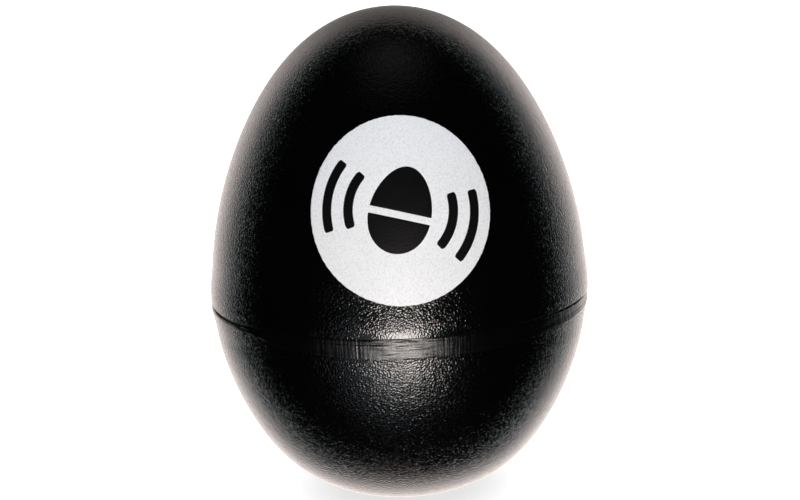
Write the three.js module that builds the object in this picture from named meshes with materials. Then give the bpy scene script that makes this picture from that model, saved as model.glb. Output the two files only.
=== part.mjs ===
// An egg shaker: a hollow plastic egg in two welded halves, with loose steel balls inside.
// Millimetres, +Z up, narrow end up. The origin is on the egg's axis in the parting plane,
// where the two halves meet, and the printed disc faces -Y.

import * as THREE from "three";

// ---------------------------------------------------------------- driving dimensions

// Outer form, measured from the belly, the widest plane of the egg.
const BELLY_RADIUS = 22.1;
const BELLY_Z = 1.35;
const UPPER_HALF = { height: 33.4, shoulder: -0.0765, crown: 0.1084 };
const LOWER_HALF = { height: 24.9, shoulder: -0.0595, crown: 0.2596 };

// The rim of the upper half swells slightly above a trimmed band at the weld.
const BAND_TOP_Z = 1.9;
const BAND_DEPTH = 0.08;
const SWELL = 0.2;
const SWELL_REACH_UP = 4.2;
const SWELL_REACH_DOWN = 3.2;

// Wall and the tongue joint at the parting plane.
const WALL = 2.2;
const TONGUE_THICKNESS = 0.95;
const TONGUE_LENGTH = 1.8;
const JOINT_GAP = 0.15;

// Printed disc, measured over the curve of the shell. It is a little narrower than high.
const PRINT_RADIUS = 10.65;
const PRINT_NARROWING = 0.975;
const PRINT_CENTRE_Z = 16.1;
const PRINT_LIFT = 0.06;
const PRINT_TOP = PRINT_LIFT + 0.1;

// Fill: one layer of balls in rings around a middle ball. The pitch is a little more than a
// ball, so that every ball has a clear column of its own up to the ceiling.
const BALL_RADIUS = 2.0;
const BALL_GAP = 0.2;
const RING_PITCH = 4.3;
const RING_COUNT = 3;
const BALLS_PER_RING_STEP = 6;

// Facets.
const ROUND_SEGMENTS = 64;
const UPPER_STEPS = 15;
const LOWER_STEPS = 12;
const PRINT_SEGMENTS = 36;
const PRINT_RINGS = 6;
const BALL_SEGMENTS = 12;
const BALL_STACKS = 8;

// ---------------------------------------------------------------- the egg's form

const QUARTER_TURN = Math.PI / 2;
const SMALL_ANGLE = 1e-4;
const BEND_SAMPLE = 0.01;
const BISECTIONS = 50;

// A point (radius, height) of the plain egg. The angle runs from a quarter turn below the
// belly, the blunt pole, to a quarter turn above it, the narrow pole.
function eggPoint(angle) {
  const half = angle < 0 ? LOWER_HALF : UPPER_HALF;
  const rise = Math.sin(angle);
  const fullness = 1 + half.shoulder * rise ** 2 + half.crown * rise ** 4;
  const radius = BELLY_RADIUS * Math.cos(angle) * fullness;
  return new THREE.Vector2(Math.max(0, radius), BELLY_Z + half.height * rise);
}

// The egg's outward direction at an angle, as (radial, vertical).
function eggNormal(angle) {
  const before = eggPoint(Math.max(angle - SMALL_ANGLE, -QUARTER_TURN));
  const after = eggPoint(Math.min(angle + SMALL_ANGLE, QUARTER_TURN));
  return new THREE.Vector2(after.y - before.y, before.x - after.x).normalize();
}

// A point at a depth under the egg's surface.
function insetPoint(angle, depth) {
  if (Math.abs(angle) === QUARTER_TURN) {
    return new THREE.Vector2(0, eggPoint(angle).y - Math.sign(angle) * depth);
  }
  return eggPoint(angle).addScaledVector(eggNormal(angle), -depth);
}

// How far the rim stands out from the plain egg at a height.
function rimSwell(z) {
  const reach = z > BAND_TOP_Z ? SWELL_REACH_UP : SWELL_REACH_DOWN;
  const closeness = Math.max(0, 1 - Math.abs(z - BAND_TOP_Z) / reach);
  return SWELL * closeness ** 2;
}

// A point of the moulded outer surface.
function skinPoint(angle) {
  const point = eggPoint(angle);
  point.x += rimSwell(point.y);
  return point;
}

// The angle between low and high where a value that rises with the angle reaches a target.
function angleWhere(valueAt, target, low, high) {
  for (let step = 0; step < BISECTIONS; step += 1) {
    const middle = (low + high) / 2;
    if (valueAt(middle) < target) {
      low = middle;
    } else {
      high = middle;
    }
  }
  return (low + high) / 2;
}

// The angle at which the surface at a depth under the egg passes a height.
function angleAtHeight(z, depth) {
  return angleWhere((angle) => insetPoint(angle, depth).y, z, -QUARTER_TURN, QUARTER_TURN);
}

// Points from one value to another, both included.
function sweep(from, to, steps, pointAt) {
  return Array.from({ length: steps + 1 }, (_, i) => pointAt(from + ((to - from) * i) / steps));
}

// ---------------------------------------------------------------- solids

// Turns a closed (radius, height) outline about the upright axis.
function turned(outline, segments) {
  const geometry = new THREE.LatheGeometry(outline, segments);
  geometry.rotateX(QUARTER_TURN);
  return geometry;
}

const innerRimAngle = angleAtHeight(0, WALL);
const chamberRadius = insetPoint(innerRimAngle, WALL).x;
const tongueRadius = chamberRadius + TONGUE_THICKNESS;

// The narrow half: outer skin, trimmed band, parting face, tongue and inner wall.
function upperShellGeometry() {
  const partingZ = JOINT_GAP / 2;
  const bandFoot = skinPoint(angleAtHeight(partingZ, 0));
  const bandHead = skinPoint(angleAtHeight(BAND_TOP_Z, 0));
  const outer = sweep(angleAtHeight(BAND_TOP_Z, 0), QUARTER_TURN, UPPER_STEPS, skinPoint);
  const inner = sweep(QUARTER_TURN, innerRimAngle, UPPER_STEPS, (a) => insetPoint(a, WALL));
  return turned(
    [
      new THREE.Vector2(chamberRadius, -TONGUE_LENGTH),
      new THREE.Vector2(tongueRadius, -TONGUE_LENGTH),
      new THREE.Vector2(tongueRadius, partingZ),
      new THREE.Vector2(bandFoot.x - BAND_DEPTH, partingZ),
      new THREE.Vector2(bandHead.x - BAND_DEPTH, BAND_TOP_Z),
      ...outer,
      ...inner,
      new THREE.Vector2(chamberRadius, -TONGUE_LENGTH),
    ],
    ROUND_SEGMENTS,
  );
}

// The blunt half: inner bowl, shelf and rebate for the tongue, parting face and outer skin.
function lowerShellGeometry() {
  const partingZ = -JOINT_GAP / 2;
  const shelfZ = -TONGUE_LENGTH - JOINT_GAP;
  const rebateRadius = tongueRadius + JOINT_GAP;
  const bowlRimAngle = angleAtHeight(shelfZ, WALL);
  const outer = sweep(-QUARTER_TURN, angleAtHeight(partingZ, 0), LOWER_STEPS, skinPoint);
  const bowl = sweep(bowlRimAngle, -QUARTER_TURN, LOWER_STEPS, (a) => insetPoint(a, WALL));
  return turned(
    [
      ...outer,
      new THREE.Vector2(rebateRadius, partingZ),
      new THREE.Vector2(rebateRadius, shelfZ),
      ...bowl,
    ],
    ROUND_SEGMENTS,
  );
}

// The printed disc is a flat disc wrapped over the shell, so its radius is measured over
// the curve.
function printDiscGeometry() {
  const outline = [
    ...sweep(0, PRINT_RADIUS, PRINT_RINGS, (r) => new THREE.Vector2(r, PRINT_LIFT)),
    ...sweep(PRINT_RADIUS, 0, PRINT_RINGS, (r) => new THREE.Vector2(r, PRINT_TOP)),
  ];
  const geometry = turned(outline, PRINT_SEGMENTS);
  const position = geometry.attributes.position;
  const vertex = new THREE.Vector3();
  for (let i = 0; i < position.count; i += 1) {
    vertex.fromBufferAttribute(position, i);
    const wrapped = wrapOnFront(vertex.x * PRINT_NARROWING, vertex.y, vertex.z);
    position.setXYZ(i, wrapped.x, wrapped.y, wrapped.z);
  }
  geometry.computeVertexNormals();
  return geometry;
}

// The radius at which the egg's outline bends at an angle.
function outlineBend(angle) {
  const below = angle - BEND_SAMPLE;
  const above = angle + BEND_SAMPLE;
  const turn = eggNormal(below).angleTo(eggNormal(above));
  return eggPoint(below).distanceTo(eggPoint(above)) / turn;
}

// Carries a flat point (across, up, lift) onto the front of the egg, at its distance over
// the curve from the middle of the print.
function wrapOnFront(across, up, lift) {
  const centreAngle = angleAtHeight(PRINT_CENTRE_Z, 0);
  const centre = eggPoint(centreAngle);
  const facing = eggNormal(centreAngle);
  const outward = new THREE.Vector3(0, -facing.x, facing.y);
  const upward = new THREE.Vector3(0, facing.y, facing.x);
  const bearing = Math.atan2(up, across);
  const bendAcross = (facing.x * Math.cos(bearing) ** 2) / centre.x;
  const bendUpward = Math.sin(bearing) ** 2 / outlineBend(centreAngle);
  const bend = bendAcross + bendUpward;
  const turn = Math.hypot(across, up) * bend;
  const onArc = new THREE.Vector3(0, -centre.x, centre.y)
    .add(new THREE.Vector3((Math.sin(turn) * Math.cos(bearing)) / bend, 0, 0))
    .addScaledVector(upward, (Math.sin(turn) * Math.sin(bearing)) / bend)
    .addScaledVector(outward, (Math.cos(turn) - 1) / bend);
  const lifted = insetPoint(angleAtHeight(onArc.z, 0), -lift);
  const radius = lifted.x + rimSwell(onArc.z);
  const azimuth = Math.atan2(onArc.x, -onArc.y);
  return new THREE.Vector3(radius * Math.sin(azimuth), -radius * Math.cos(azimuth), lifted.y);
}

// ---------------------------------------------------------------- materials

function plastic(colour, roughness) {
  return new THREE.MeshStandardMaterial({ color: colour, roughness, metalness: 0 });
}

function steel() {
  return new THREE.MeshStandardMaterial({ color: 0xb9bbbd, roughness: 0.22, metalness: 1 });
}

function ink() {
  return new THREE.MeshStandardMaterial({ color: 0xf2f2ee, roughness: 0.5, metalness: 0 });
}

// ---------------------------------------------------------------- the assembly

const eggShaker = new THREE.Group();

function addPart(name, geometry, material) {
  const mesh = new THREE.Mesh(geometry, material);
  mesh.name = name;
  eggShaker.add(mesh);
  return mesh;
}

// Where a ball rests in the bowl, by its distance from the axis.
function restHeight(distance) {
  const depth = WALL + BALL_GAP + BALL_RADIUS;
  const angle = angleWhere((a) => insetPoint(a, depth).x, distance, -QUARTER_TURN, 0);
  return insetPoint(angle, depth).y;
}

function addBalls() {
  let number = 0;
  for (let ring = 0; ring <= RING_COUNT; ring += 1) {
    const distance = ring * RING_PITCH;
    const count = Math.max(1, ring * BALLS_PER_RING_STEP);
    for (let i = 0; i < count; i += 1) {
      number += 1;
      const geometry = new THREE.SphereGeometry(BALL_RADIUS, BALL_SEGMENTS, BALL_STACKS);
      geometry.rotateX(QUARTER_TURN);
      const ball = addPart(`ball_${String(number).padStart(2, "0")}`, geometry, steel());
      const azimuth = (i / count) * Math.PI * 2;
      ball.position.set(
        distance * Math.sin(azimuth),
        -distance * Math.cos(azimuth),
        restHeight(distance),
      );
    }
  }
}

addPart("upper_shell", upperShellGeometry(), plastic(0x101011, 0.42));
addPart("lower_shell", lowerShellGeometry(), plastic(0x111112, 0.42));
addPart("print_disc", printDiscGeometry(), ink());
addBalls();

export default eggShaker;
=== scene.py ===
"""An egg shaker: a hollow black plastic egg in two welded halves, printed on its front.

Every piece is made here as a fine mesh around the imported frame: the two shell halves, the
trimmed weld between them, the two inks of the print, and the loose steel balls inside.
Lengths are in metres, +Z is up, and the print faces -Y.
"""

import math
import random

import bmesh
import bpy
import numpy as np
from mathutils import Matrix, Vector, noise


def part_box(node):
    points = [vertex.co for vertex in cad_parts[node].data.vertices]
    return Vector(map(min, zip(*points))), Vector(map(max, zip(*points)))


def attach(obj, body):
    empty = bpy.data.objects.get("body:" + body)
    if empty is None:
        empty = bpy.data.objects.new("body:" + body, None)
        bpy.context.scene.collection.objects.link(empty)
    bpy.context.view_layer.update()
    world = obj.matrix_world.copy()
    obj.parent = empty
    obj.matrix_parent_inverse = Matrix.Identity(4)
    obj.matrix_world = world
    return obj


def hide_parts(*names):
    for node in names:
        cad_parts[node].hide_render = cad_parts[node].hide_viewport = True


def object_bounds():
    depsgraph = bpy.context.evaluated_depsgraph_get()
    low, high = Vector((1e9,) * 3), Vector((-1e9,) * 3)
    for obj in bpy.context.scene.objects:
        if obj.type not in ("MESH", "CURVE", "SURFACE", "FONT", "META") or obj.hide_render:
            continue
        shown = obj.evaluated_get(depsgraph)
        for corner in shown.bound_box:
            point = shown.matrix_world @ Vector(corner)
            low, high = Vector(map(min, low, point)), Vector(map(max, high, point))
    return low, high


MM = 0.001
QUARTER_TURN = math.pi / 2
FULL_TURN = math.pi * 2

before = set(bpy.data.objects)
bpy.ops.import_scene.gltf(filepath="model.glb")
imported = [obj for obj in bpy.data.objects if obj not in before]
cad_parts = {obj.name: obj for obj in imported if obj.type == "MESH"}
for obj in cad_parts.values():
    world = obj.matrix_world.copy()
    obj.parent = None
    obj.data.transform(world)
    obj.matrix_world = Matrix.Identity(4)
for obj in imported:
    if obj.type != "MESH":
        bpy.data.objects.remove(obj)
cad_low, cad_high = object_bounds()
upper_low, upper_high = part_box("upper_shell")
lower_low, lower_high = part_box("lower_shell")

# ------------------------------------------------------------------ driving dimensions

# The egg's form, measured from its belly. Heights and width come from the frame.
BELLY_Z = 1.35 * MM
SWELL = 0.2 * MM
SWELL_ABOVE_LIP = 0.3 * MM
SWELL_REACH_UP = 4.2 * MM
SWELL_REACH_DOWN = 3.6 * MM
BELLY_RADIUS = upper_high.x - SWELL
UPPER_HALF = {"height": upper_high.z - BELLY_Z, "shoulder": -0.0765, "crown": 0.1084}
LOWER_HALF = {"height": BELLY_Z - lower_low.z, "shoulder": -0.0595, "crown": 0.2596}

# The wall and the tongue joint.
WALL = 2.2 * MM
TONGUE_THICKNESS = 0.95 * MM
TONGUE_LENGTH = 1.8 * MM
JOINT_GAP = 0.15 * MM

# The weld, trimmed back by hand with a blade: widest at the front, narrow at the sides.
BAND_TOP_Z = 1.0 * MM
BAND_FRONT_RISE = 1.0 * MM
BAND_BACK_RISE = 0.5 * MM
BAND_FRONT_DIP = 0.42 * MM
BAND_LEFT_RISE = 0.5 * MM
BAND_TILT = 0.15 * MM
BAND_WANDER = 0.05 * MM
BAND_SEAT_DEPTH = 0.85 * MM
WELD_GAP = 0.008 * MM

# The cut's depth under the skin: a little more at the lip than at the foot, with a hollow under
# the lip, a small step above the foot, and a deep dark slot under the lip at both sides.
BAND_DEPTH = 0.07 * MM
BAND_DEPTH_FADE = 0.95
LIP_HOLLOW = 0.085 * MM
LIP_HOLLOW_SHARE = 0.09
FOOT_STEP = 0.045 * MM
FOOT_STEP_SHARES = (0.72, 0.88)
SLOT_DEPTH = 0.42 * MM
SLOT_WIDTH = 0.46 * MM
SLOT_SHELF = 0.05 * MM
RIGHT_SLOT_SHARE = 0.9
RIGHT_END_SLOPE = 0.2 * MM

# The edges on each side of the cut.
LIP_RADIUS = 0.03 * MM
RIM_RADIUS = 0.15 * MM
FLUSH_RIM_RADIUS = 0.015 * MM
BEAD_START = math.radians(50)

# Where round the egg each of these is: a centre and a reach in degrees, positive on the right.
FRONT_RISE_ZONE = (5, 85)
BACK_RISE_ZONE = (180, 75)
FRONT_DIP_ZONE = (-2, 58)
LEFT_RISE_ZONE = (-60, 26)
FLUSH_ZONE = (0, 80)
LEFT_SLOT_ZONE = (-70, 36)
RIGHT_SLOT_ZONE = (70, 34)

# The slow random wander of an edge: a seed, and how many lobes it has round the egg.
BAND_TOP_WANDER = {"seed": 4.7, "lobes": 1.6}
BAND_FOOT_WANDER = {"seed": 9.3, "lobes": 2.0}
DISC_EDGE_WANDER = {"seed": 1.9, "lobes": 26.0}

# The marks that the blade left. Patches of chatter have a strength and a zone.
CHATTER_PITCH = 0.42 * MM
CHATTER_HEIGHT = 0.02 * MM
CHATTER_SLANT = 0.3
CHATTER_ALL_ROUND = 0.15
CHATTER_PATCHES = ((1.0, (-21, 14)), (0.7, (14, 7)), (0.6, (60, 18)))
STREAK_HEIGHT = 0.04 * MM
STREAK_LOBES = 7.0
STREAK_ROWS = 6.0
FINE_STREAK_SHARE = 0.45
FINE_STREAK_LOBES = 16.0
FINE_STREAK_ROWS = 15.0
STREAK_CALM = 1.25
SCORE_DEPTH = 0.05 * MM
SCORE_SHARE = 0.26
SCORE_WIDTH = 0.07
SCORE_ZONE = (-15, 16)

# The print, measured over the curve of the shell.
PRINT_RADIUS = 10.65 * MM
PRINT_NARROWING = 0.975
PRINT_CENTRE_Z = 16.1 * MM
INK_LIFT = 0.03 * MM
INK_SINK = 0.02 * MM
DISC_EDGE_ROUGHNESS = 0.0022

# Mesh fineness.
SHELL_SEGMENTS = 360
BAND_SEGMENTS = 2160
UPPER_ROWS = 150
LOWER_ROWS = 130
INNER_ROWS = 48
BAND_ROWS = 28
EDGE_STEPS = 6
LAST_ROW_SHARE = 0.1
SHARP_ANGLE = math.radians(30)
SAME_POINT = 0.0001 * MM
BISECTIONS = 40


# ------------------------------------------------------------------ the egg's form


def egg_outline(angle):
    """Radius and height of the plain egg at an angle, from minus to plus a quarter turn."""
    angle = np.asarray(angle, float)
    rise = np.sin(angle)
    below = angle < 0
    height = np.where(below, LOWER_HALF["height"], UPPER_HALF["height"])
    shoulder = np.where(below, LOWER_HALF["shoulder"], UPPER_HALF["shoulder"])
    crown = np.where(below, LOWER_HALF["crown"], UPPER_HALF["crown"])
    fullness = 1 + shoulder * rise**2 + crown * rise**4
    radius = np.maximum(BELLY_RADIUS * np.cos(angle) * fullness, 0.0)
    return radius, BELLY_Z + height * rise


def egg_normal(angle):
    """The egg's outward direction at an angle, as a radial and a vertical part."""
    small = 1e-4
    low_r, low_z = egg_outline(np.maximum(np.asarray(angle) - small, -QUARTER_TURN))
    high_r, high_z = egg_outline(np.minimum(np.asarray(angle) + small, QUARTER_TURN))
    length = np.hypot(high_r - low_r, high_z - low_z)
    return (high_z - low_z) / length, (low_r - high_r) / length


def inset_outline(angle, depth):
    """Radius and height of the surface at a depth under the egg's."""
    radius, z = egg_outline(angle)
    normal_r, normal_z = egg_normal(angle)
    return np.maximum(radius - depth * normal_r, 0.0), z - depth * normal_z


def angle_at_height(z, depth=0.0):
    """The angle at which the surface at a depth passes a height."""
    z = np.asarray(z, float)
    low = np.full(z.shape, -QUARTER_TURN)
    high = np.full(z.shape, QUARTER_TURN)
    for _ in range(BISECTIONS):
        middle = (low + high) / 2
        beneath = inset_outline(middle, depth)[1] < z
        low = np.where(beneath, middle, low)
        high = np.where(beneath, high, middle)
    return (low + high) / 2


def ripple(azimuth, seed, lobes):
    """A smooth random curve between about -1 and 1 that closes on itself round the egg."""
    values = [
        2 * noise.noise(Vector((lobes * math.cos(a), lobes * math.sin(a), seed)))
        for a in np.ravel(azimuth)
    ]
    return np.reshape(values, np.shape(azimuth))


def hump(azimuth, centre, reach):
    """A flat-topped rise round the egg, from 0 to 1, about a centre; both are in degrees."""
    away = np.abs((np.degrees(azimuth) - centre + 180) % 360 - 180)
    return (1 - np.minimum(away / reach, 1) ** 3) ** 2


def band_top(azimuth):
    """Height of the trimmed weld's upper edge."""
    front = BAND_FRONT_RISE * hump(azimuth, *FRONT_RISE_ZONE)
    back = BAND_BACK_RISE * hump(azimuth, *BACK_RISE_ZONE)
    tilt = BAND_TILT * np.sin(azimuth)
    wander = BAND_WANDER * ripple(azimuth, **BAND_TOP_WANDER)
    return BAND_TOP_Z + front + back + tilt + wander


def band_foot(azimuth):
    """Height of the trimmed weld's lower edge."""
    front = BAND_FRONT_DIP * hump(azimuth, *FRONT_DIP_ZONE)
    left = BAND_LEFT_RISE * hump(azimuth, *LEFT_RISE_ZONE)
    return left - front + BAND_WANDER * ripple(azimuth, **BAND_FOOT_WANDER)


def rim_swell(azimuth, z):
    """How far the rim stands out from the plain egg: most just above the trimmed weld."""
    crest = band_top(azimuth) + SWELL_ABOVE_LIP
    reach = np.where(z > crest, SWELL_REACH_UP, SWELL_REACH_DOWN)
    distance = np.minimum(np.abs(z - crest) / reach, 1)
    return SWELL * (1 - distance**2) ** 2


def skin_radius(azimuth, z):
    """The radius of the moulded outer surface at a height."""
    return egg_outline(angle_at_height(z))[0] + rim_swell(azimuth, z)


def flushness(azimuth):
    """1 at the front, where the blade cut down to the lower half's skin, and 0 at the sides."""
    return np.minimum(2 * hump(azimuth, *FLUSH_ZONE), 1)


def band_depth(azimuth, share):
    """How far the cut lies under the skin, from its top, share 0, to its foot, share 1."""
    left_end = hump(azimuth, *LEFT_SLOT_ZONE)
    right_end = hump(azimuth, *RIGHT_SLOT_ZONE)
    ends = left_end + RIGHT_SLOT_SHARE * right_end
    below_lip = share * (band_top(azimuth) - band_foot(azimuth))
    slot = SLOT_DEPTH * ends * np.clip((SLOT_WIDTH * ends - below_lip) / SLOT_SHELF, 0, 1)
    slope = RIGHT_END_SLOPE * right_end * (1 - share)
    hollow = LIP_HOLLOW * math.exp(-share / LIP_HOLLOW_SHARE)
    step = FOOT_STEP * np.interp(share, FOOT_STEP_SHARES, (1, 0))
    return BAND_DEPTH * (1 - BAND_DEPTH_FADE * share) + hollow + step + slot + slope


# ------------------------------------------------------------------ mesh building


def round_positions(azimuth, radius, z):
    """Points on rings about the egg's axis. Azimuth 0 is the front, -Y."""
    return np.stack([radius * np.sin(azimuth), -radius * np.cos(azimuth), z + 0 * azimuth], -1)


def mesh_object(name, points, faces, material):
    """A mesh object from points and faces, ready to ride."""
    mesh = bpy.data.meshes.new(name)
    mesh.from_pydata([tuple(p) for p in points], [], [tuple(int(i) for i in f) for f in faces])
    mesh.update()
    mesh.polygons.foreach_set("use_smooth", [True] * len(mesh.polygons))
    mesh.set_sharp_from_angle(angle=SHARP_ANGLE)
    mesh.materials.append(material)
    piece = bpy.data.objects.new(name, mesh)
    bpy.context.scene.collection.objects.link(piece)
    return piece


def merge_collapsed(mesh):
    """Join the points that lie on one another where a grid comes to a point."""
    shape = bmesh.new()
    shape.from_mesh(mesh)
    bmesh.ops.remove_doubles(shape, verts=shape.verts, dist=SAME_POINT)
    shape.to_mesh(mesh)
    shape.free()


def ring_faces(rows, segments, start):
    """Quads between rows of points that close round the egg."""
    row, column = np.meshgrid(np.arange(rows - 1), np.arange(segments), indexing="ij")
    after = (column + 1) % segments
    corners = [row * segments + column, (row + 1) * segments + column]
    corners += [(row + 1) * segments + after, row * segments + after]
    return start + np.stack([c.ravel() for c in corners], -1)


def pole_faces(pole, ring_start, segments, upward):
    """Triangles between a pole and the ring beside it."""
    first = np.arange(segments)
    after = (first + 1) % segments
    fan = [np.full(segments, pole), ring_start + first, ring_start + after]
    if not upward:
        fan = [fan[0], fan[2], fan[1]]
    return np.stack(fan, -1)


def bowl_solid(name, rings, outer_pole_z, inner_pole_z, narrow_end_up, material):
    """A closed cup from rings that run from its outer pole, over its rim, to its inner pole."""
    rows, segments, _ = rings.shape
    points = [(0, 0, outer_pole_z), *rings.reshape(-1, 3), (0, 0, inner_pole_z)]
    quads = ring_faces(rows, segments, 1)
    if not narrow_end_up:
        quads = quads[:, ::-1]
    last_ring = 1 + (rows - 1) * segments
    faces = [
        *pole_faces(0, 1, segments, narrow_end_up),
        *quads,
        *pole_faces(len(points) - 1, last_ring, segments, not narrow_end_up),
    ]
    return mesh_object(name, points, faces, material)


def grid_solid(name, top, bottom, material):
    """A thin closed solid between two grids of points of the same shape."""
    rows, columns, _ = top.shape
    count = rows * columns
    row, column = np.meshgrid(np.arange(rows - 1), np.arange(columns - 1), indexing="ij")
    first = (row * columns + column).ravel()
    upper = np.stack([first, first + 1, first + columns + 1, first + columns], -1)
    lower = count + upper[:, ::-1]
    along = np.arange(columns - 1)
    across = np.arange(rows - 1) * columns
    last_row = (rows - 1) * columns
    edges = [
        (along + 1, along),
        (last_row + along, last_row + along + 1),
        (across, across + columns),
        (across + columns + columns - 1, across + columns - 1),
    ]
    sides = [np.stack([a, b, b + count, a + count], -1) for a, b in edges]
    points = np.concatenate([top.reshape(-1, 3), bottom.reshape(-1, 3)])
    piece = mesh_object(name, points, np.concatenate([upper, lower, *sides]), material)
    merge_collapsed(piece.data)
    return piece


# ------------------------------------------------------------------ material nodes


class Nodes:
    """Short calls to add and join the nodes of one material or world."""

    def __init__(self, tree):
        self.tree = tree
        tree.nodes.clear()

    def add(self, kind, inputs=None, **settings):
        node = self.tree.nodes.new(kind)
        for key, value in settings.items():
            setattr(node, key, value)
        for key, value in (inputs or {}).items():
            if isinstance(value, bpy.types.NodeSocket):
                self.tree.links.new(value, node.inputs[key])
            else:
                node.inputs[key].default_value = value
        return node

    def math(self, operation, first, second=0.0, third=0.0):
        inputs = {0: first, 1: second, 2: third}
        return self.add("ShaderNodeMath", inputs, operation=operation).outputs[0]

    def remap(self, value, from_low, from_high, to_low, to_high, smooth=False):
        inputs = {
            "Value": value,
            "From Min": from_low,
            "From Max": from_high,
            "To Min": to_low,
            "To Max": to_high,
        }
        kind = "SMOOTHSTEP" if smooth else "LINEAR"
        return self.add("ShaderNodeMapRange", inputs, interpolation_type=kind).outputs["Result"]

    def noise(self, vector, size, detail=2.0, roughness=0.5):
        inputs = {"Vector": vector, "Scale": 1 / size, "Detail": detail, "Roughness": roughness}
        return self.add("ShaderNodeTexNoise", inputs).outputs["Fac"]

    def stretched(self, vector, scale):
        inputs = {"Vector": vector, "Scale": scale}
        return self.add("ShaderNodeMapping", inputs).outputs["Vector"]

    def mix_colour(self, factor, first, second):
        node = self.add("ShaderNodeMix", {"Factor": factor}, data_type="RGBA")
        for socket, value in (("A_Color", first), ("B_Color", second)):
            target = next(s for s in node.inputs if s.identifier == socket)
            if isinstance(value, bpy.types.NodeSocket):
                self.tree.links.new(value, target)
            else:
                target.default_value = (*value, 1)
        return next(s for s in node.outputs if s.identifier == "Result_Color")

    def bump(self, height, depth, normal=None):
        inputs = {"Height": height, "Distance": depth, "Strength": 1.0}
        if normal is not None:
            inputs["Normal"] = normal
        return self.add("ShaderNodeBump", inputs).outputs["Normal"]

    def finish_surface(self, inputs):
        shader = self.add("ShaderNodeBsdfPrincipled", inputs)
        self.add("ShaderNodeOutputMaterial", {"Surface": shader.outputs[0]})


def new_material(name):
    material = bpy.data.materials.new(name)
    material.use_nodes = True
    nodes = Nodes(material.node_tree)
    place = nodes.add("ShaderNodeTexCoord").outputs["Object"]
    return material, nodes, place


# The middle of a noise's spread, where most of its values lie.
NOISE_MIDDLE = (0.3, 0.7)

# The mould's spark-eroded grain.
CRATER_SIZE = 0.28 * MM
CRATER_SHARE = 0.3
CRATER_SMOOTHNESS = 0.15
CRUMB_SIZE = 0.18 * MM
GRAIN_DEPTH = 0.048 * MM

# How far the lower half's texture is shifted, so that the halves differ.
LOWER_LOT = 0.37

# Where the blade's back rubbed the skin above the weld at the front.
RUBBED_TOP = (2.35 * MM, 3.0 * MM)
RUBBED_FOOT = 0.8 * MM
RUBBED_CENTRE = 0.8 * MM
RUBBED_REACH = (3.5 * MM, 8.0 * MM)
RUBBED_GRAIN = 0.45
RUBBED_POLISH = 0.05

# The black plastic, as moulded and as cut.
PLASTIC_IOR = 1.49
HAZE_SIZE = 9 * MM
FLOW_SIZE = 14 * MM
GRAINED_ROUGHNESS = (0.13, 0.17)
GRAINED_COLOURS = ((0.0007, 0.0007, 0.0008), (0.0011, 0.0011, 0.0011))
CUT_LINE_SIZE = 1.2 * MM
CUT_LINE_STRETCH = (1, 1, 12)
CUT_SCUFF_SIZE = 0.3 * MM
CUT_SCUFF_SHARE = 0.4
CUT_MARK_DEPTH = 0.02 * MM
CUT_PATCH_SIZE = 2.5 * MM
CUT_PATCH_SPREAD = (0.35, 0.65)
CUT_ROUGHNESS = (0.19, 0.26)
CUT_COLOURS = ((0.0008, 0.0008, 0.0009), (0.0013, 0.0013, 0.0014))

# The two inks: colour where thin and where full, roughness, and specular level.
WHITE_INK = {
    "thin": (0.67, 0.69, 0.71),
    "full": (0.82, 0.84, 0.86),
    "roughness": (0.42, 0.55),
    "gloss": 0.5,
}
BLACK_INK = {
    "thin": (0.004, 0.004, 0.004),
    "full": (0.002, 0.002, 0.0022),
    "roughness": (0.34, 0.42),
    "gloss": 0.2,
}
INK_IOR = 1.5
INK_SPECKLE_SIZE = 0.16 * MM
INK_CLOUD_SIZE = 4 * MM
INK_COVER_SPREAD = (0.6, 1.4)
INK_GRAIN_DEPTH = 0.02 * MM

# The tumbled steel.
STEEL_COLOURS = ((0.42, 0.42, 0.43), (0.58, 0.57, 0.56))
STEEL_ROUGHNESS = (0.18, 0.34)
STEEL_SCRATCH_SIZE = 0.5 * MM
STEEL_SCRATCH_STRETCH = (1, 6, 1)
STEEL_SCRATCH_DEPTH = 0.01 * MM
STEEL_DULL_SIZE = 1.1 * MM


def spark_grain(nodes, place):
    """The height of a spark-eroded grain: small overlapping craters with a finer crumb."""
    inputs = {"Vector": place, "Scale": 1 / CRATER_SIZE, "Smoothness": CRATER_SMOOTHNESS}
    craters = nodes.add("ShaderNodeTexVoronoi", inputs, feature="SMOOTH_F1").outputs["Distance"]
    crumb = nodes.noise(place, CRUMB_SIZE, detail=0.0)
    return nodes.math("ADD", nodes.math("MULTIPLY", craters, CRATER_SHARE), crumb)


def rubbed_edge(nodes, place):
    """1 where the blade's back rubbed the skin above the weld at the front, 0 elsewhere."""
    across, along, height = nodes.add("ShaderNodeSeparateXYZ", {"Vector": place}).outputs
    off_centre = nodes.math("ABSOLUTE", nodes.math("SUBTRACT", across, RUBBED_CENTRE))
    rubbed = nodes.remap(height, *RUBBED_TOP, 1.0, 0.0, smooth=True)
    limits = [
        nodes.math("GREATER_THAN", height, RUBBED_FOOT),
        nodes.remap(off_centre, *RUBBED_REACH, 1.0, 0.0, smooth=True),
        nodes.math("LESS_THAN", along, 0.0),
    ]
    for limit in limits:
        rubbed = nodes.math("MULTIPLY", rubbed, limit)
    return rubbed


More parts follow.
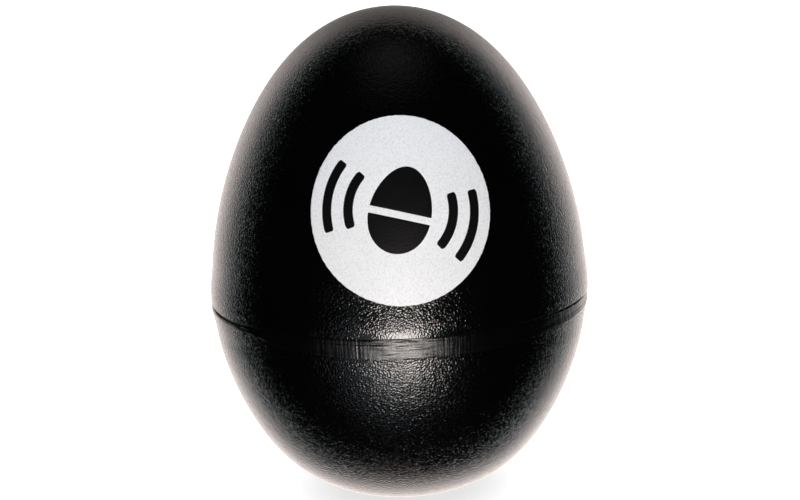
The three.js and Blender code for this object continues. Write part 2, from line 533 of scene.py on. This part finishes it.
def grained_plastic(name, lot):
    """Black moulded plastic with the mould's grain, faint flow shading and handling haze."""
    material, nodes, place = new_material(name)
    shifted = nodes.add("ShaderNodeVectorMath", {0: place, 1: (lot, lot, lot)}).outputs[0]
    rubbed = rubbed_edge(nodes, place)
    depth = nodes.remap(rubbed, 0.0, 1.0, 1.0, RUBBED_GRAIN)
    grain_height = nodes.math("MULTIPLY", spark_grain(nodes, shifted), depth)
    haze = nodes.noise(shifted, HAZE_SIZE, detail=3.0)
    hazy = nodes.remap(haze, *NOISE_MIDDLE, *GRAINED_ROUGHNESS)
    polish = nodes.remap(rubbed, 0.0, 1.0, 0.0, RUBBED_POLISH)
    flow = nodes.noise(shifted, FLOW_SIZE, detail=2.0)
    nodes.finish_surface(
        {
            "Base Color": nodes.mix_colour(flow, *GRAINED_COLOURS),
            "Roughness": nodes.math("SUBTRACT", hazy, polish),
            "IOR": PLASTIC_IOR,
            "Normal": nodes.bump(grain_height, GRAIN_DEPTH),
        }
    )
    return material


def scraped_plastic():
    """Black plastic trimmed with a blade: smooth, with fine lines along the cut."""
    material, nodes, place = new_material("scraped_plastic")
    stretched = nodes.stretched(place, CUT_LINE_STRETCH)
    lines = nodes.noise(stretched, CUT_LINE_SIZE, detail=4.0, roughness=0.7)
    scuff = nodes.noise(place, CUT_SCUFF_SIZE, detail=3.0)
    height = nodes.math("ADD", lines, nodes.math("MULTIPLY", scuff, CUT_SCUFF_SHARE))
    patches = nodes.noise(place, CUT_PATCH_SIZE)
    nodes.finish_surface(
        {
            "Base Color": nodes.mix_colour(scuff, *CUT_COLOURS),
            "Roughness": nodes.remap(patches, *CUT_PATCH_SPREAD, *CUT_ROUGHNESS),
            "IOR": PLASTIC_IOR,
            "Normal": nodes.bump(height, CUT_MARK_DEPTH),
        }
    )
    return material


def ink(name, look):
    """Pad-printed ink: it follows the plastic's grain, softened, and is thinner in places."""
    material, nodes, place = new_material(name)
    grain = spark_grain(nodes, place)
    speckle = nodes.noise(place, INK_SPECKLE_SIZE, detail=3.0, roughness=0.7)
    cover = nodes.remap(nodes.math("ADD", grain, speckle), *INK_COVER_SPREAD, 0, 1, smooth=True)
    cloud = nodes.noise(place, INK_CLOUD_SIZE)
    nodes.finish_surface(
        {
            "Base Color": nodes.mix_colour(cover, look["thin"], look["full"]),
            "Roughness": nodes.remap(cloud, *NOISE_MIDDLE, *look["roughness"]),
            "IOR": INK_IOR,
            "Specular IOR Level": look["gloss"],
            "Normal": nodes.bump(grain, INK_GRAIN_DEPTH),
        }
    )
    return material


def tumbled_steel():
    """Steel balls with fine scratches and a slightly dull tumbled skin."""
    material, nodes, place = new_material("tumbled_steel")
    stretched = nodes.stretched(place, STEEL_SCRATCH_STRETCH)
    scratches = nodes.noise(stretched, STEEL_SCRATCH_SIZE, detail=5.0, roughness=0.7)
    dull = nodes.noise(place, STEEL_DULL_SIZE, detail=3.0)
    nodes.finish_surface(
        {
            "Base Color": nodes.mix_colour(dull, *STEEL_COLOURS),
            "Metallic": 1.0,
            "Roughness": nodes.remap(dull, *NOISE_MIDDLE, *STEEL_ROUGHNESS),
            "Normal": nodes.bump(scratches, STEEL_SCRATCH_DEPTH),
        }
    )
    return material


# ------------------------------------------------------------------ the shell halves

chamber_radius = float(inset_outline(angle_at_height(0.0, WALL), WALL)[0])
tongue_radius = chamber_radius + TONGUE_THICKNESS


def seat_radius(azimuth):
    """The radius of the seat that holds the weld, under the skin."""
    return skin_radius(azimuth, band_top(azimuth)) - BAND_SEAT_DEPTH


def ring(azimuth, radius, z):
    """One ring of points; radius and height may each be one number or one for each point."""
    return round_positions(azimuth, radius + 0 * azimuth, z + 0 * azimuth)


def rounded_corner(azimuth, radius, z, size, first, last):
    """Rings round a corner of a radius-height outline, from one direction to another."""
    return [
        ring(azimuth, radius + size * math.cos(turn), z + size * math.sin(turn))
        for turn in np.linspace(first, last, EDGE_STEPS + 1)
    ]


def skin_rings(azimuth, edge_z, pole_angle, rows):
    """Rings of the outer surface from next to a pole to an edge whose height may wander."""
    edge_angle = angle_at_height(edge_z + 0 * azimuth)
    rings = []
    for share in [*np.arange(1, rows) / rows, 1 - LAST_ROW_SHARE / rows, 1.0]:
        radius, z = egg_outline(pole_angle + (edge_angle - pole_angle) * share)
        rings.append(round_positions(azimuth, radius + rim_swell(azimuth, z), z))
    return rings


def inner_rings(azimuth, rim_angle, pole_angle, rows):
    """Rings of the chamber's wall from its rim to next to its pole."""
    rings = []
    for i in range(rows):
        radius, z = inset_outline(rim_angle + (pole_angle - rim_angle) * i / rows, WALL)
        rings.append(ring(azimuth, float(radius), float(z)))
    return rings


def make_upper_shell(material):
    azimuth = np.arange(SHELL_SEGMENTS) / SHELL_SEGMENTS * FULL_TURN
    lip_z = band_top(azimuth)
    lip_top_z = lip_z + LIP_RADIUS
    lip_radius = skin_radius(azimuth, lip_top_z) - LIP_RADIUS
    seat = seat_radius(azimuth)
    rings = [
        *skin_rings(azimuth, lip_top_z, QUARTER_TURN, UPPER_ROWS),
        *rounded_corner(azimuth, lip_radius, lip_top_z, LIP_RADIUS, 0.0, -QUARTER_TURN)[1:],
        ring(azimuth, seat, lip_z),
        ring(azimuth, seat, WELD_GAP),
        ring(azimuth, tongue_radius, WELD_GAP),
        ring(azimuth, tongue_radius, -TONGUE_LENGTH),
        ring(azimuth, chamber_radius, -TONGUE_LENGTH),
        *inner_rings(azimuth, angle_at_height(0.0, WALL), QUARTER_TURN, INNER_ROWS),
    ]
    inner_pole_z = float(egg_outline(QUARTER_TURN)[1]) - WALL
    return bowl_solid(
        "upper_shell_skin", np.array(rings), upper_high.z, inner_pole_z, True, material
    )


def make_lower_shell(material):
    azimuth = np.arange(SHELL_SEGMENTS) / SHELL_SEGMENTS * FULL_TURN
    rim_z = band_foot(azimuth) - WELD_GAP
    seat = seat_radius(azimuth) + WELD_GAP
    bead = RIM_RADIUS + (FLUSH_RIM_RADIUS - RIM_RADIUS) * flushness(azimuth)
    bead_foot = rim_z - bead * (1 + math.sin(BEAD_START))
    bead_centre = skin_radius(azimuth, bead_foot) - bead * math.cos(BEAD_START)
    shelf_z = -TONGUE_LENGTH - JOINT_GAP
    rebate_radius = tongue_radius + JOINT_GAP
    rings = [
        *skin_rings(azimuth, bead_foot, -QUARTER_TURN, LOWER_ROWS),
        *rounded_corner(azimuth, bead_centre, rim_z - bead, bead, -BEAD_START, QUARTER_TURN)[1:],
        ring(azimuth, seat, rim_z),
        ring(azimuth, seat, -WELD_GAP),
        ring(azimuth, rebate_radius, -WELD_GAP),
        ring(azimuth, rebate_radius, shelf_z),
        *inner_rings(azimuth, angle_at_height(shelf_z, WALL), -QUARTER_TURN, INNER_ROWS),
    ]
    inner_pole_z = float(egg_outline(-QUARTER_TURN)[1]) + WALL
    return bowl_solid(
        "lower_shell_skin", np.array(rings), lower_low.z, inner_pole_z, False, material
    )


# ------------------------------------------------------------------ the trimmed weld


def scrape_height(azimuth, share):
    """How the blade left the weld: chatter across the cut in patches, and streaks along it."""
    patches = sum(strength * hump(azimuth, *zone) for strength, zone in CHATTER_PATCHES)
    chatter = CHATTER_ALL_ROUND + patches
    calm = STREAK_CALM - np.minimum(chatter, 1.0)
    score = SCORE_DEPTH * hump(azimuth, *SCORE_ZONE)
    score = score * max(0.0, 1 - abs(share - SCORE_SHARE) / SCORE_WIDTH)
    ridges = []
    streaks = []
    for a in azimuth:
        around = Vector((math.cos(a), math.sin(a), 0))
        slanted = Vector((0, 0, share * CHATTER_SLANT))
        across = noise.noise(around * (BELLY_RADIUS / CHATTER_PITCH) + slanted)
        streak = noise.noise(around * STREAK_LOBES + Vector((0, 0, share * STREAK_ROWS)))
        fine_place = Vector((5, 0, share * FINE_STREAK_ROWS))
        fine_streak = noise.noise(around * FINE_STREAK_LOBES + fine_place)
        ridges.append(1 - 2 * abs(across))
        streaks.append(streak + FINE_STREAK_SHARE * fine_streak)
    marks = CHATTER_HEIGHT * chatter * np.array(ridges)
    marks += STREAK_HEIGHT * calm * np.array(streaks)
    return marks - score


def make_weld(material):
    azimuth = np.arange(BAND_SEGMENTS) / BAND_SEGMENTS * FULL_TURN
    top_z = band_top(azimuth)
    foot_z = band_foot(azimuth)
    seat = seat_radius(azimuth) + WELD_GAP
    rings = [ring(azimuth, seat, top_z)]
    for i in range(BAND_ROWS + 1):
        share = i / BAND_ROWS
        z = top_z + (foot_z - top_z) * share
        radius = skin_radius(azimuth, z) - band_depth(azimuth, share)
        radius += scrape_height(azimuth, share)
        rings.append(ring(azimuth, radius, z))
    rings.append(ring(azimuth, seat, foot_z))
    rings = np.array(rings)
    rows, segments, _ = rings.shape
    faces = np.concatenate([ring_faces(rows, segments, 0), closing_faces(rows, segments)])
    return mesh_object("trimmed_weld", rings.reshape(-1, 3), faces, material)


def closing_faces(rows, segments):
    """Quads from the last ring of a closed section back to its first."""
    column = np.arange(segments)
    after = (column + 1) % segments
    last = (rows - 1) * segments
    return np.stack([last + column, column, after, last + after], -1)


# ------------------------------------------------------------------ the print

DISC_SEGMENTS = 480
DISC_ROWS = 40
BEND_SAMPLE = 0.01

# The shares of the disc's radius, and of its film's thickness, at its last rings.
DISC_EDGE_SHARES = (0.994, 1.0)
DISC_EDGE_FILM = (0.7, 0.0)
DISC_FULL_FILM_SHARE = 0.985
FILM_FOOT_SHARE = 0.2

centre_angle = float(angle_at_height(PRINT_CENTRE_Z))
centre_radius, centre_z = (float(v) for v in egg_outline(centre_angle))
facing_r, facing_z = (float(v) for v in egg_normal(centre_angle))


def outline_bend():
    """The radius at which the egg's outline bends at the middle of the print."""
    low = egg_outline(centre_angle - BEND_SAMPLE)
    high = egg_outline(centre_angle + BEND_SAMPLE)
    low_normal = egg_normal(centre_angle - BEND_SAMPLE)
    high_normal = egg_normal(centre_angle + BEND_SAMPLE)
    turn = math.acos(low_normal[0] * high_normal[0] + low_normal[1] * high_normal[1])
    return math.hypot(high[0] - low[0], high[1] - low[1]) / turn


def wrap_on_front(across, up, lift):
    """Carries flat points onto the egg's front, keeping their distance from the middle."""
    bearing = np.arctan2(up, across)
    bend_across = facing_r * np.cos(bearing) ** 2 / centre_radius
    bend_upward = np.sin(bearing) ** 2 / outline_bend()
    bend = bend_across + bend_upward
    turn = np.hypot(across, up) * bend
    sideways = np.sin(turn) * np.cos(bearing) / bend
    upward = np.sin(turn) * np.sin(bearing) / bend
    inward = (1 - np.cos(turn)) / bend
    x = sideways
    y = -centre_radius + upward * facing_z + inward * facing_r
    z = centre_z + upward * facing_r - inward * facing_z
    radius, height = inset_outline(angle_at_height(z), -lift)
    azimuth = np.arctan2(x, -y)
    return round_positions(azimuth, radius + rim_swell(azimuth, z), height)


def ink_solid(name, across, up, edge_share, material, lift):
    """A film of ink over a grid of flat points; edge_share falls to 0 at the film's edge."""
    foot = INK_SINK * FILM_FOOT_SHARE
    top_lift = (lift + foot) * np.sqrt(edge_share) - foot
    top = wrap_on_front(across, up, top_lift)
    bottom = wrap_on_front(across, up, -INK_SINK + 0 * across)
    return grid_solid(name, top, bottom, material)


def make_print_disc(material):
    """The white disc, with the slightly uneven edge that a print leaves on a grain."""
    bearing = np.arange(DISC_SEGMENTS) / DISC_SEGMENTS * FULL_TURN
    edge = 1 + DISC_EDGE_ROUGHNESS * ripple(bearing, **DISC_EDGE_WANDER)
    full_shares = np.linspace(1 / DISC_ROWS, DISC_FULL_FILM_SHARE, DISC_ROWS)
    shares = np.concatenate([full_shares, DISC_EDGE_SHARES])
    films = np.concatenate([np.ones(DISC_ROWS), DISC_EDGE_FILM])
    rings = []
    for share, film in zip(shares, films):
        reach = PRINT_RADIUS * share * (1 + (edge - 1) * share**4)
        across = reach * np.sin(bearing) * PRINT_NARROWING
        up = reach * np.cos(bearing)
        rings.append(wrap_on_front(across, up, INK_LIFT * math.sqrt(film) + 0 * across))
    across = PRINT_RADIUS * edge * np.sin(bearing) * PRINT_NARROWING
    up = PRINT_RADIUS * edge * np.cos(bearing)
    for share in np.linspace(1.0, 1 / DISC_ROWS, DISC_ROWS):
        rings.append(wrap_on_front(across * share, up * share, -INK_SINK + 0 * across))
    rings = np.array(rings)
    nothing = np.zeros(1)
    middle_top = wrap_on_front(nothing, nothing, nothing + INK_LIFT)[0]
    middle_under = wrap_on_front(nothing, nothing, nothing - INK_SINK)[0]
    points = [middle_top, *rings.reshape(-1, 3), middle_under]
    last_ring = 1 + (len(rings) - 1) * DISC_SEGMENTS
    faces = [
        *pole_faces(0, 1, DISC_SEGMENTS, False),
        *ring_faces(len(rings), DISC_SEGMENTS, 1)[:, ::-1],
        *pole_faces(len(points) - 1, last_ring, DISC_SEGMENTS, True),
    ]
    return mesh_object("print_disc_ink", points, faces, material)


def film_edge(columns, rows, border):
    """1 over the middle of a grid, falling to 0 along its border."""
    u = np.linspace(0, 1, columns)[None, :]
    v = np.linspace(0, 1, rows)[:, None]
    near = np.minimum(np.minimum(u, 1 - u), np.minimum(v, 1 - v) + 0 * u)
    return np.clip(near / border, 0, 1)


# A plain pictogram of a shaken egg: an egg with a seam, and two arcs on each side of it.
ICON_EGG_HEIGHT = 9.8 * MM
ICON_EGG_WIDTH = 7.2 * MM
ICON_EGG_NARROWING = 0.13
ICON_EGG_GRID = (61, 41)
ICON_EGG_BORDER = 0.04
ICON_SEAM = 0.5 * MM
ICON_SEAM_SHARE = -0.12
ICON_TILT = math.radians(-14)
ICON_ARC_RADII = (5.9 * MM, 8.4 * MM)
ICON_ARC_HALF_ANGLES = (math.radians(33), math.radians(30))
ICON_ARC_GRID = (81, 15)
ICON_ARC_BORDER = 0.06
ICON_STROKE = 1.2 * MM
ICON_LIFT = INK_LIFT + 0.02 * MM


def tilted(across, up, angle):
    """Flat points turned about the middle of the print."""
    return (
        across * math.cos(angle) - up * math.sin(angle),
        across * math.sin(angle) + up * math.cos(angle),
    )


def icon_egg_part(name, low, high, material):
    """The part of the pictogram's egg between two shares of its height, from -1 to 1."""
    columns, rows = ICON_EGG_GRID
    angle = np.linspace(math.asin(low), math.asin(high), rows)[:, None]
    share = np.sin(angle)
    width = np.cos(angle) * (1 - ICON_EGG_NARROWING * share)
    across = np.linspace(-1, 1, columns)[None, :] * width * ICON_EGG_WIDTH / 2
    up = share * ICON_EGG_HEIGHT / 2 + 0 * across
    across, up = tilted(across, up, ICON_TILT)
    film = film_edge(columns, rows, ICON_EGG_BORDER)
    return ink_solid(name, across, up, film, material, ICON_LIFT)


def icon_arc(name, radius, half_angle, side, material):
    """One round-ended motion arc beside the pictogram's egg."""
    columns, rows = ICON_ARC_GRID
    along = np.linspace(-1, 1, columns)[None, :]
    v = np.linspace(-1, 1, rows)[:, None]
    cap = ICON_STROKE / 2 / (radius * half_angle)
    into_cap = np.clip((np.abs(along) - (1 - cap)) / cap, 0, 1)
    width = ICON_STROKE / 2 * np.sqrt(np.maximum(1 - into_cap**2, 0.0))
    bearing = along * half_angle
    reach = radius + v * width
    across = side * reach * np.cos(bearing)
    up = side * reach * np.sin(bearing)
    across, up = tilted(across, up, ICON_TILT)
    film = film_edge(columns, rows, ICON_ARC_BORDER)
    return ink_solid(name, across, up, film, material, ICON_LIFT)


def make_pictogram(material):
    seam = ICON_SEAM / ICON_EGG_HEIGHT
    parts = [
        icon_egg_part("icon_egg_upper", ICON_SEAM_SHARE + seam, 1.0, material),
        icon_egg_part("icon_egg_lower", -1.0, ICON_SEAM_SHARE - seam, material),
    ]
    arcs = list(enumerate(zip(ICON_ARC_RADII, ICON_ARC_HALF_ANGLES), 1))
    for side_name, side in (("left", -1), ("right", 1)):
        for number, (radius, half_angle) in arcs:
            name = f"icon_arc_{side_name}_{number}"
            parts.append(icon_arc(name, radius, half_angle, side, material))
    return parts


# ------------------------------------------------------------------ the balls

BALL_SUBDIVISIONS = 4
BALL_FLATS = 9
BALL_FLAT_REACH = 0.988
BALL_FLAT_LIMIT = 0.5
BALL_UNEVENNESS = 0.003
BALL_LOBES = 3


def make_ball(node, number, material):
    """A tumbled steel ball: very slightly uneven, with a few small worn flats."""
    low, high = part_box(node)
    centre = (low + high) / 2
    radius = (high.z - low.z) / 2
    mesh = bmesh.new()
    bmesh.ops.create_icosphere(mesh, subdivisions=BALL_SUBDIVISIONS, radius=1)
    draw = random.Random(number)
    flats = [random_direction(draw) for _ in range(BALL_FLATS)]
    for vertex in mesh.verts:
        outward = vertex.co.normalized()
        bumps = noise.noise(outward * BALL_LOBES + Vector((number, 0, 0)))
        reach = 1 - BALL_UNEVENNESS * (1 + bumps)
        for flat in flats:
            reach = min(reach, BALL_FLAT_REACH / max(outward.dot(flat), BALL_FLAT_LIMIT))
        vertex.co = centre + outward * radius * reach
    data = bpy.data.meshes.new(f"{node}_steel")
    mesh.to_mesh(data)
    mesh.free()
    data.polygons.foreach_set("use_smooth", [True] * len(data.polygons))
    data.materials.append(material)
    ball = bpy.data.objects.new(f"{node}_steel", data)
    bpy.context.scene.collection.objects.link(ball)
    return ball


def random_direction(draw):
    """A unit vector in any direction, all equally likely."""
    z = draw.uniform(-1, 1)
    around = draw.uniform(0, FULL_TURN)
    flat = math.sqrt(1 - z * z)
    return Vector((flat * math.cos(around), flat * math.sin(around), z))


# ------------------------------------------------------------------ camera, stage and light

CAMERA_AZIMUTH = math.radians(-1.25)
CAMERA_ELEVATION = math.radians(16.5)
CAMERA_ROLL = math.radians(1.7)
CAMERA_DISTANCE = 331.5 * MM
VIEW_WIDTH = 94.35 * MM
SENSOR_WIDTH = 36.0
AIM_RIGHT = 0.2 * MM
AIM_UP = 0.11 * MM


def direction(azimuth, elevation):
    """A unit vector; azimuth 0 points to the front, -Y, and turns towards +X."""
    return Vector(
        (
            math.sin(azimuth) * math.cos(elevation),
            -math.cos(azimuth) * math.cos(elevation),
            math.sin(elevation),
        )
    )


def make_camera():
    centre = (cad_low + cad_high) / 2
    back = direction(CAMERA_AZIMUTH, CAMERA_ELEVATION)
    right = Vector((0, 0, 1)).cross(back).normalized()
    up = back.cross(right)
    level = Matrix((right, up, back)).transposed()
    turn = level @ Matrix.Rotation(CAMERA_ROLL * -1, 3, "Z")
    rolled_right = turn @ Vector((1, 0, 0))
    rolled_up = turn @ Vector((0, 1, 0))
    data = bpy.data.cameras.new("camera")
    data.sensor_width = SENSOR_WIDTH
    data.lens = SENSOR_WIDTH * CAMERA_DISTANCE / VIEW_WIDTH
    data.clip_start = 10 * MM
    camera = bpy.data.objects.new("camera", data)
    aim = centre + rolled_right * AIM_RIGHT + rolled_up * AIM_UP
    camera.matrix_world = Matrix.Translation(aim + back * CAMERA_DISTANCE) @ turn.to_4x4()
    bpy.context.scene.collection.objects.link(camera)
    bpy.context.scene.camera = camera


# The stage: pale matt paper that glows, less so close about the egg, where the dimmer glow is a
# painted contact shadow.
STAGE_COLOUR = (0.9, 0.9, 0.9)
STAGE_SHADE = 0.985
STAGE_ROUGHNESS = 0.9
STAGE_RADIUS = 3.0
STAGE_SEGMENTS = 96
PAPER_SIZE = 60 * MM
FLOOR_GLOW = 1.1
# The glow close about the egg, and how far out it rises again: a painted contact shadow.
PAINTED_SHADOW_GLOW = 0.8
PAINTED_SHADOW_REACH = (7 * MM, 16 * MM)
BACKDROP_GLOW = 1.2

# The lamps: place, size, power in watts, and colour.
OVERHEAD_FILL = {
    "position": (0, 0, 1.2),
    "size": 1.4,
    "power": 10.7,
    "colour": (0.85, 0.96, 1.05),
}
FRONT_FILL = {
    "position": (0.1, -1.0, 0.45),
    "size": 0.8,
    "power": 1.4,
    "colour": (0.88, 0.95, 0.99),
}

# The white sweep behind the egg. Its strength depends on how far behind a direction points, from
# 1 straight behind to 0 at the sides, and fades where it is high, at its foot and in a gap.
SWEEP_AZIMUTH = math.radians(178.5)
SWEEP_EDGE = (0.36, 0.93)
SWEEP_STRENGTH = 1.65
SWEEP_LEAN = -0.1
SWEEP_HIGH_FADE = (0.22, 0.9)
SWEEP_LOW_GAIN = (-0.8, -0.2, 1.2, 1.0)
SWEEP_FOOT_FADE = (-1.0, -0.93, 0.1, 1.0)
SWEEP_GAP_ELEVATION = math.radians(10)
SWEEP_GAP = (30, 3, 1.0, 0.2)
SWEEP_WARMTH = (0.5, 0.85)
SWEEP_COLOURS = ((0.84, 1.0, 1.04), (1.09, 0.97, 0.92))
LEVEL_FLOOR = 1.0001

# The softbox low in front: middle, outer and inner half width, across and in height.
SOFTBOX_WIDTH = (0.0, 0.19, 0.13)
SOFTBOX_HEIGHT = (-0.37, 0.26, 0.2)
SOFTBOX_STRENGTH = (-0.55, -0.2, 11.2, 26.0)
SOFTBOX_COLOUR = (1.0, 0.91, 0.86)

# Two dim round patches: outer and inner radius in degrees, and strength outside and inside.
HALO_AXIS = (math.radians(-7.0), math.radians(-27))
HALO = (34, 10, 0.0, 0.75)
HALO_COLOUR = (0.84, 0.95, 1.06)
OVERHEAD = (24, 4, 0.0, 0.2)
OVERHEAD_COLOUR = (1.0, 1.0, 0.95)


def stage_material(name, far_glow, near_glow):
    """Matt paper that glows, less so close about the egg: a painted contact shadow, where the
    egg's real shadow is also to be seen.
    """
    material, nodes, place = new_material(name)
    paper = nodes.noise(place, PAPER_SIZE, detail=2.0)
    shade = tuple(c * STAGE_SHADE for c in STAGE_COLOUR)
    flat = {0: place, 1: (1, 1, 0)}
    flat_place = nodes.add("ShaderNodeVectorMath", flat, operation="MULTIPLY").outputs[0]
    length = nodes.add("ShaderNodeVectorMath", {0: flat_place}, operation="LENGTH")
    distance = length.outputs["Value"]
    nodes.finish_surface(
        {
            "Base Color": nodes.mix_colour(paper, shade, STAGE_COLOUR),
            "Roughness": STAGE_ROUGHNESS,
            "Specular IOR Level": 0.0,
            "Emission Color": (*STAGE_COLOUR, 1),
            # Glow dimmed close about the egg: a painted contact shadow.
            "Emission Strength": nodes.remap(
                distance, *PAINTED_SHADOW_REACH, near_glow, far_glow, smooth=True
            ),
        }
    )
    return material


def make_stage():
    """A pale round floor and a pale wall far round it. The shell's gloss doesn't see them."""
    azimuth = np.arange(STAGE_SEGMENTS) / STAGE_SEGMENTS * FULL_TURN
    foot = ring(azimuth, STAGE_RADIUS, cad_low.z)
    head = ring(azimuth, STAGE_RADIUS, cad_low.z + STAGE_RADIUS)
    floor = mesh_object(
        "floor",
        [(0, 0, cad_low.z), *foot],
        pole_faces(0, 1, STAGE_SEGMENTS, True),
        stage_material("floor", FLOOR_GLOW, PAINTED_SHADOW_GLOW),
    )
    backdrop = mesh_object(
        "backdrop",
        np.concatenate([head, foot]),
        ring_faces(2, STAGE_SEGMENTS, 0),
        stage_material("backdrop", BACKDROP_GLOW, BACKDROP_GLOW),
    )
    for part in (floor, backdrop):
        part.visible_glossy = False
        part.visible_shadow = False
        part.visible_diffuse = False


def add_lamp(name, lamp):
    """A round area light that points at the egg's middle. The gloss doesn't see it."""
    data = bpy.data.lights.new(name, "AREA")
    data.shape = "DISK"
    data.size = lamp["size"]
    data.energy = lamp["power"]
    data.color = lamp["colour"]
    light = bpy.data.objects.new(name, data)
    light.location = lamp["position"]
    light.rotation_mode = "QUATERNION"
    from_egg = Vector(lamp["position"]) - (cad_low + cad_high) / 2
    light.rotation_quaternion = from_egg.to_track_quat("Z", "Y")
    light.visible_glossy = False
    bpy.context.scene.collection.objects.link(light)


class WorldNodes(Nodes):
    """The nodes of a world, with values that depend on the direction looked in."""

    def __init__(self, tree):
        super().__init__(tree)
        self.looking = self.add("ShaderNodeTexCoord").outputs["Generated"]
        parts = self.add("ShaderNodeSeparateXYZ", {"Vector": self.looking}).outputs
        self.across, _, self.height = parts

    def towards(self, axis):
        """1 along an axis, 0 across it and -1 away from it."""
        inputs = {0: self.looking, 1: tuple(axis)}
        return self.add("ShaderNodeVectorMath", inputs, operation="DOT_PRODUCT").outputs["Value"]

    def within(self, amount, middle, outer, inner):
        """1 where an amount is near a middle value, falling to 0 between two distances."""
        distance = self.math("ABSOLUTE", self.math("SUBTRACT", amount, middle))
        return self.remap(distance, outer, inner, 0.0, 1.0, smooth=True)

    def round_patch(self, axis, outer, inner, low, high):
        """A value that is low outside one angle about an axis and high inside another."""
        limits = (math.cos(math.radians(outer)), math.cos(math.radians(inner)))
        return self.remap(self.towards(axis), *limits, low, high, smooth=True)

    def product(self, first, *others):
        for other in others:
            first = self.math("MULTIPLY", first, other)
        return first

    def light(self, strength, colour):
        colour = colour if isinstance(colour, bpy.types.NodeSocket) else (*colour, 1)
        inputs = {"Color": colour, "Strength": strength}
        return self.add("ShaderNodeBackground", inputs).outputs[0]


def white_sweep(nodes, away):
    """The broad white behind the egg that gives its bright rims, warmer towards the middle."""
    below = nodes.math("MINIMUM", nodes.height, 0.0)
    level_squared = nodes.math("SUBTRACT", LEVEL_FLOOR, nodes.math("MULTIPLY", below, below))
    level = nodes.math("SQRT", level_squared)
    lean = nodes.math("ABSOLUTE", nodes.height)
    behind = nodes.math("MULTIPLY_ADD", lean, SWEEP_LEAN, nodes.math("DIVIDE", away, level))
    gap_axis = direction(math.pi, SWEEP_GAP_ELEVATION)
    strength = nodes.product(
        nodes.remap(behind, *SWEEP_EDGE, 0.0, SWEEP_STRENGTH, smooth=True),
        nodes.remap(nodes.height, *SWEEP_HIGH_FADE, 1.0, 0.0, smooth=True),
        nodes.remap(nodes.height, *SWEEP_LOW_GAIN),
        nodes.remap(nodes.height, *SWEEP_FOOT_FADE),
        nodes.round_patch(gap_axis, *SWEEP_GAP),
    )
    warmth = nodes.remap(behind, *SWEEP_WARMTH, 0.0, 1.0, smooth=True)
    return nodes.light(strength, nodes.mix_colour(warmth, *SWEEP_COLOURS))


def low_softbox(nodes, away):
    """The softbox low in front that gives the highlight at the weld."""
    strength = nodes.product(
        nodes.within(nodes.across, *SOFTBOX_WIDTH),
        nodes.within(nodes.height, *SOFTBOX_HEIGHT),
        nodes.math("LESS_THAN", away, 0.0),
        nodes.remap(nodes.height, *SOFTBOX_STRENGTH),
    )
    return nodes.light(strength, SOFTBOX_COLOUR)


def make_world():
    """The soft room that the gloss reflects."""
    world = bpy.data.worlds.new("soft_room")
    world.use_nodes = True
    nodes = WorldNodes(world.node_tree)
    away = nodes.towards(direction(SWEEP_AZIMUTH, 0))
    everything = white_sweep(nodes, away)
    patches = [
        low_softbox(nodes, away),
        nodes.light(nodes.round_patch(direction(*HALO_AXIS), *HALO), HALO_COLOUR),
        nodes.light(nodes.round_patch((0, 0, 1), *OVERHEAD), OVERHEAD_COLOUR),
    ]
    for patch in patches:
        everything = nodes.add("ShaderNodeAddShader", {0: everything, 1: patch}).outputs[0]
    nodes.add("ShaderNodeOutputWorld", {"Surface": everything})
    bpy.context.scene.world = world


# ------------------------------------------------------------------ the assembly


def place(piece, body, slot, *nodes_replaced):
    """Puts a piece on its body, instead of the CAD nodes that it stands for. Its slot is not
    used.
    """
    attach(piece, body)
    if nodes_replaced:
        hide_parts(*nodes_replaced)


make_camera()
make_stage()
make_world()
add_lamp("overhead_fill", OVERHEAD_FILL)
add_lamp("front_fill", FRONT_FILL)

upper_plastic = grained_plastic("grained_plastic_upper", 0.0)
lower_plastic = grained_plastic("grained_plastic_lower", LOWER_LOT)
place(make_upper_shell(upper_plastic), "shell", "upper_shell", "upper_shell")
place(make_lower_shell(lower_plastic), "shell", "lower_shell", "lower_shell")
place(make_weld(scraped_plastic()), "shell", "upper_shell")

white_ink = ink("white_ink", WHITE_INK)
black_ink = ink("black_ink", BLACK_INK)
place(make_print_disc(white_ink), "shell", "print_ink", "print_disc")
for part in make_pictogram(black_ink):
    place(part, "shell", "print_ink")

steel = tumbled_steel()
ball_nodes = sorted(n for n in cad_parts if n.startswith("ball_"))
for number, node in enumerate(ball_nodes, 1):
    place(make_ball(node, number, steel), f"loose_{node}", "ball_steel", node)

bpy.context.scene.view_settings.view_transform = "Standard"
